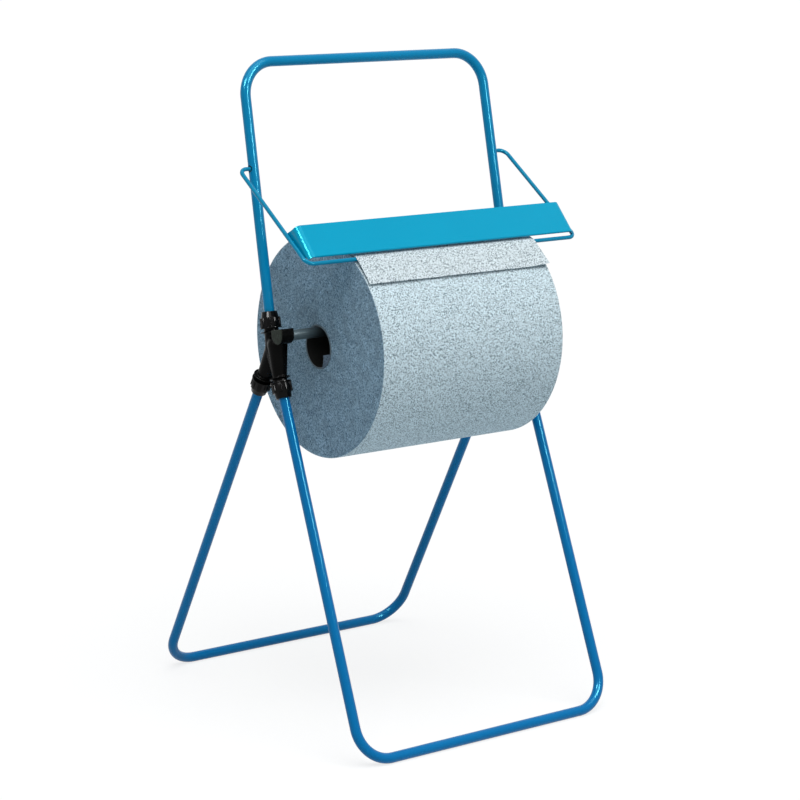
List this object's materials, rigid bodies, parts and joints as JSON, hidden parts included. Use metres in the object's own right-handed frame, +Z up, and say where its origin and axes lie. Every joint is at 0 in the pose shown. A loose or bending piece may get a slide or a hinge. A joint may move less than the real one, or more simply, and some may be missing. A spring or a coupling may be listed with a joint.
{
  "type": "wiper roll floor stand",
  "caption": "Floor stand for a jumbo paper wiper roll: blue bent-tube frames clamped in black connectors, a steel axle, the hanging roll and a hinged wire cutter with a folded blade.",
  "frame": {"origin": "on the floor, midway between the two foot bars and midway between the left and right legs", "axes": "+X along the axle to the right of a user who stands in front, -Y to the front where the sheet leaves, +Z up"},
  "size_m": [0.485, 0.5432, 0.9601],
  "materials": {
    "blue_coat": "glossy blue powder coat on steel tube and wire",
    "bright_blue_coat": "glossy bright cyan-blue powder coat on sheet steel",
    "black_moulding": "glossy black moulded plastic",
    "pale_nylon": "natural pale nylon",
    "grey_steel": "plain grey steel tube, satin",
    "paper": "matt speckled blue-grey nonwoven wiper paper",
    "paperboard": "matt grey paperboard"
  },
  "bodies": {
    "stand": {"handle_frame": "blue_coat", "front_leg_frame": "blue_coat", "rear_leg_frame": "blue_coat", "left_connector": "black_moulding", "right_connector": "black_moulding", "left_handle_nut": "black_moulding", "left_front_nut": "black_moulding", "left_rear_nut": "black_moulding", "right_handle_nut": "black_moulding", "right_front_nut": "black_moulding", "right_rear_nut": "black_moulding", "left_handle_grip_ring": "pale_nylon", "left_front_grip_ring": "pale_nylon", "left_rear_grip_ring": "pale_nylon", "right_handle_grip_ring": "pale_nylon", "right_front_grip_ring": "pale_nylon", "right_rear_grip_ring": "pale_nylon", "left_pivot_bush": "black_moulding", "right_pivot_bush": "black_moulding"},
    "axle": {"axle": "grey_steel"},
    "roll": {"roll_core": "paperboard", "paper_roll": "paper"},
    "cutter": {"cutter_bail": "blue_coat", "cutter_blade": "bright_blue_coat", "paper_sheet": "paper"}
  },
  "joints": [
    {"name": "roll_spin", "type": "hinge", "parent": "stand", "child": "roll", "pos_m": [0, -0.05395, 0.55741], "axis": [1, 0, 0], "continuous": true},
    {"name": "axle_spin", "type": "hinge", "parent": "stand", "child": "axle", "pos_m": [0, -0.05395, 0.57911], "axis": [1, 0, 0], "continuous": true},
    {"name": "cutter_swing", "type": "hinge", "parent": "stand", "child": "cutter", "pos_m": [0, 0.03148, 0.80595], "axis": [-1, 0, 0], "range_deg": [0, 120]}
  ],
  "couplings": [
    {"joint": "axle_spin", "follows": "roll_spin", "ratio": 3.9333}
  ]
}
